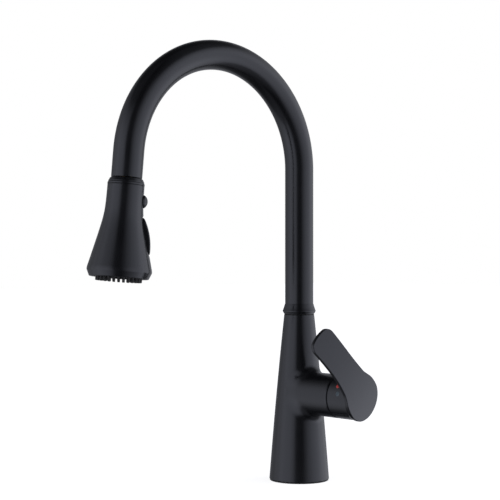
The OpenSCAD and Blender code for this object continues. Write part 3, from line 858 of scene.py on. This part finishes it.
def make_mark(name, slot, angle, mark_v, node):
    """A drop of enamel that follows the hub's side."""
    mark_r, height, sides, rings = 2.4, 0.16, 40, 6
    verts, faces = [[0, 0, height]], []
    for i in range(1, rings + 1):
        f = i / rings
        for k in range(sides):
            a = 2 * math.pi * k / sides
            verts.append([mark_r * f * math.cos(a), mark_r * f * math.sin(a), height * (1 - f ** 4) - 0.02])
    for k in range(sides):
        m = (k + 1) % sides
        faces.append((0, 1 + k, 1 + m))
        for i in range(rings - 1):
            a, b = 1 + i * sides, 1 + (i + 1) * sides
            faces.append((a + k, b + k, b + m, a + m))
    last = 1 + (rings - 1) * sides
    faces.append(tuple(last + k for k in reversed(range(sides))))
    verts = np.array(verts)
    turn = math.radians(angle) + verts[:, 0] / BOSS_R
    radius = BOSS_R + verts[:, 2]
    bent = np.stack([radius * np.cos(turn), radius * np.sin(turn), mark_v + verts[:, 1]], -1)
    piece = add_mesh(name, bent, faces, LEVER, crease=60)
    finish_piece(piece, slot, "lever", node)


def make_lever():
    handle = add_solid("paddle_lever", lever_field, (-22, -22, 20), (85, 22, 55), 0.45, LEVER)
    finish_piece(handle, "matte_black", "lever", "lever_handle")
    make_mark("hot_dot", "hot_red", 12, 33.2, "hot_mark")
    make_mark("cold_dot", "cold_blue", 33.5, 35.6, "cold_mark")


# --- Stage ---------------------------------------------------------------------------------------


TO_CAMERA = Vector((0.7536, -0.6574, 0))
DAYLIGHT = (0.97, 0.99, 1.08)


def make_camera():
    data = bpy.data.cameras.new("camera")
    data.sensor_width = 36
    data.lens = 101.4
    data.clip_end = 50
    camera = bpy.data.objects.new("camera", data)
    camera.location = (1.0229, -0.9572, 0.228)
    camera.rotation_euler = (math.radians(90), 0, math.radians(48.9))
    bpy.context.scene.collection.objects.link(camera)
    bpy.context.scene.camera = camera


def compass(tree, bearing_from):
    """The bearing of a direction from 0 to 1, with 0.5 towards the given one and more to its right."""
    place = tree.nodes.new("ShaderNodeTexCoord").outputs["Generated"]
    parts = []
    for axis in ((-bearing_from.y, bearing_from.x, 0), tuple(bearing_from)):
        dot = tree.nodes.new("ShaderNodeVectorMath")
        dot.operation = "DOT_PRODUCT"
        dot.inputs[1].default_value = axis
        tree.links.new(place, dot.inputs[0])
        parts.append(dot.outputs["Value"])
    angle = tree.nodes.new("ShaderNodeMath")
    angle.operation = "ARCTAN2"
    tree.links.new(parts[0], angle.inputs[0])
    tree.links.new(parts[1], angle.inputs[1])
    part = tree.nodes.new("ShaderNodeMath")
    part.operation = "MULTIPLY_ADD"
    part.inputs[1].default_value = 1 / (2 * math.pi)
    part.inputs[2].default_value = 0.5
    tree.links.new(angle.outputs[0], part.inputs[0])
    return part.outputs[0], place


def light_band(tree, value, stops, tint=(1, 1, 1)):
    """Brightness along a value from 0 to 1, as a soft ramp through (place, brightness) stops."""
    node = tree.nodes.new("ShaderNodeValToRGB")
    node.color_ramp.interpolation = "EASE"
    band = node.color_ramp
    while len(band.elements) < len(stops):
        band.elements.new(0.5)
    for element, (position, level) in zip(band.elements, stops):
        element.position = position
        element.color = (*(level * part for part in tint), 1)
    tree.links.new(value, node.inputs["Fac"])
    return node.outputs["Color"]


def make_world():
    """White to the eye. As a light it is a ring of soft panels with a dark gap towards the camera."""
    world = bpy.data.worlds.new("studio")
    bpy.context.scene.world = world
    world.use_nodes = True
    tree = world.node_tree
    tree.nodes.clear()
    bearing, direction = compass(tree, TO_CAMERA)
    around = light_band(tree, bearing, [
        (0, 0.22), (0.1, 0.13), (0.147, 0.2), (0.225, 0.46), (0.286, 0.72), (0.339, 0.7), (0.389, 0.68),
        (0.425, 0.5), (0.461, 0.05), (0.536, 0.03), (0.567, 0.22), (0.611, 0.48), (0.661, 0.68),
        (0.714, 0.78), (0.775, 0.9), (0.853, 0.6), (0.92, 0.26), (1, 0.22)], DAYLIGHT)
    split = tree.nodes.new("ShaderNodeSeparateXYZ")
    tree.links.new(direction, split.inputs["Vector"])
    height = tree.nodes.new("ShaderNodeMapRange")
    height.inputs["From Min"].default_value = -1
    tree.links.new(split.outputs["Z"], height.inputs["Value"])
    above = light_band(tree, height.outputs["Result"], [
        (0, 0.12), (0.14, 0.22), (0.2, 0.8), (0.3, 1.0), (0.5, 0.93), (0.65, 0.92), (0.72, 0.78), (0.8, 0.5),
        (0.87, 0.08), (1, 0.05)])
    both = tree.nodes.new("ShaderNodeMix")
    both.data_type, both.blend_type = "RGBA", "MULTIPLY"
    both.inputs["Factor"].default_value = 1
    colours = [i for i in both.inputs if i.type == "RGBA"]
    tree.links.new(around, colours[0])
    tree.links.new(above, colours[1])
    seen, lit = tree.nodes.new("ShaderNodeBackground"), tree.nodes.new("ShaderNodeBackground")
    seen.inputs["Color"].default_value = (1, 1, 1, 1)
    tree.links.new([o for o in both.outputs if o.type == "RGBA"][0], lit.inputs["Color"])
    lit.inputs["Strength"].default_value = 1.8
    path = tree.nodes.new("ShaderNodeLightPath")
    mix = tree.nodes.new("ShaderNodeMixShader")
    out = tree.nodes.new("ShaderNodeOutputWorld")
    tree.links.new(path.outputs["Is Camera Ray"], mix.inputs["Fac"])
    tree.links.new(lit.outputs[0], mix.inputs[1])
    tree.links.new(seen.outputs[0], mix.inputs[2])
    tree.links.new(mix.outputs[0], out.inputs["Surface"])


def make_stage():
    """A white floor that keeps only the contact shadow."""
    side = 6.0
    corners = [(-side, -side, 0), (side, -side, 0), (side, side, 0), (-side, side, 0)]
    floor = add_mesh("floor", np.array(corners) / MM, [(0, 1, 2, 3)])
    material = bpy.data.materials.new("pale_floor")
    material.use_nodes = True
    tree = material.node_tree
    tree.nodes.clear()
    paper, glow = tree.nodes.new("ShaderNodeBsdfDiffuse"), tree.nodes.new("ShaderNodeEmission")
    paper.inputs["Color"].default_value = (0.9, 0.9, 0.9, 1)
    glow.inputs["Strength"].default_value = 0.83
    both = tree.nodes.new("ShaderNodeAddShader")
    out = tree.nodes.new("ShaderNodeOutputMaterial")
    tree.links.new(paper.outputs[0], both.inputs[0])
    tree.links.new(glow.outputs[0], both.inputs[1])
    tree.links.new(both.outputs[0], out.inputs["Surface"])
    floor.data.materials.append(material)
    floor.visible_glossy = floor.visible_diffuse = floor.visible_shadow = False
    bpy.context.scene.view_settings.view_transform = "Standard"


paint_cad_nodes()
make_camera()
make_world()
make_stage()
make_body()
make_spout()
make_head()
make_pause_spring()
make_run_out()
make_lever()
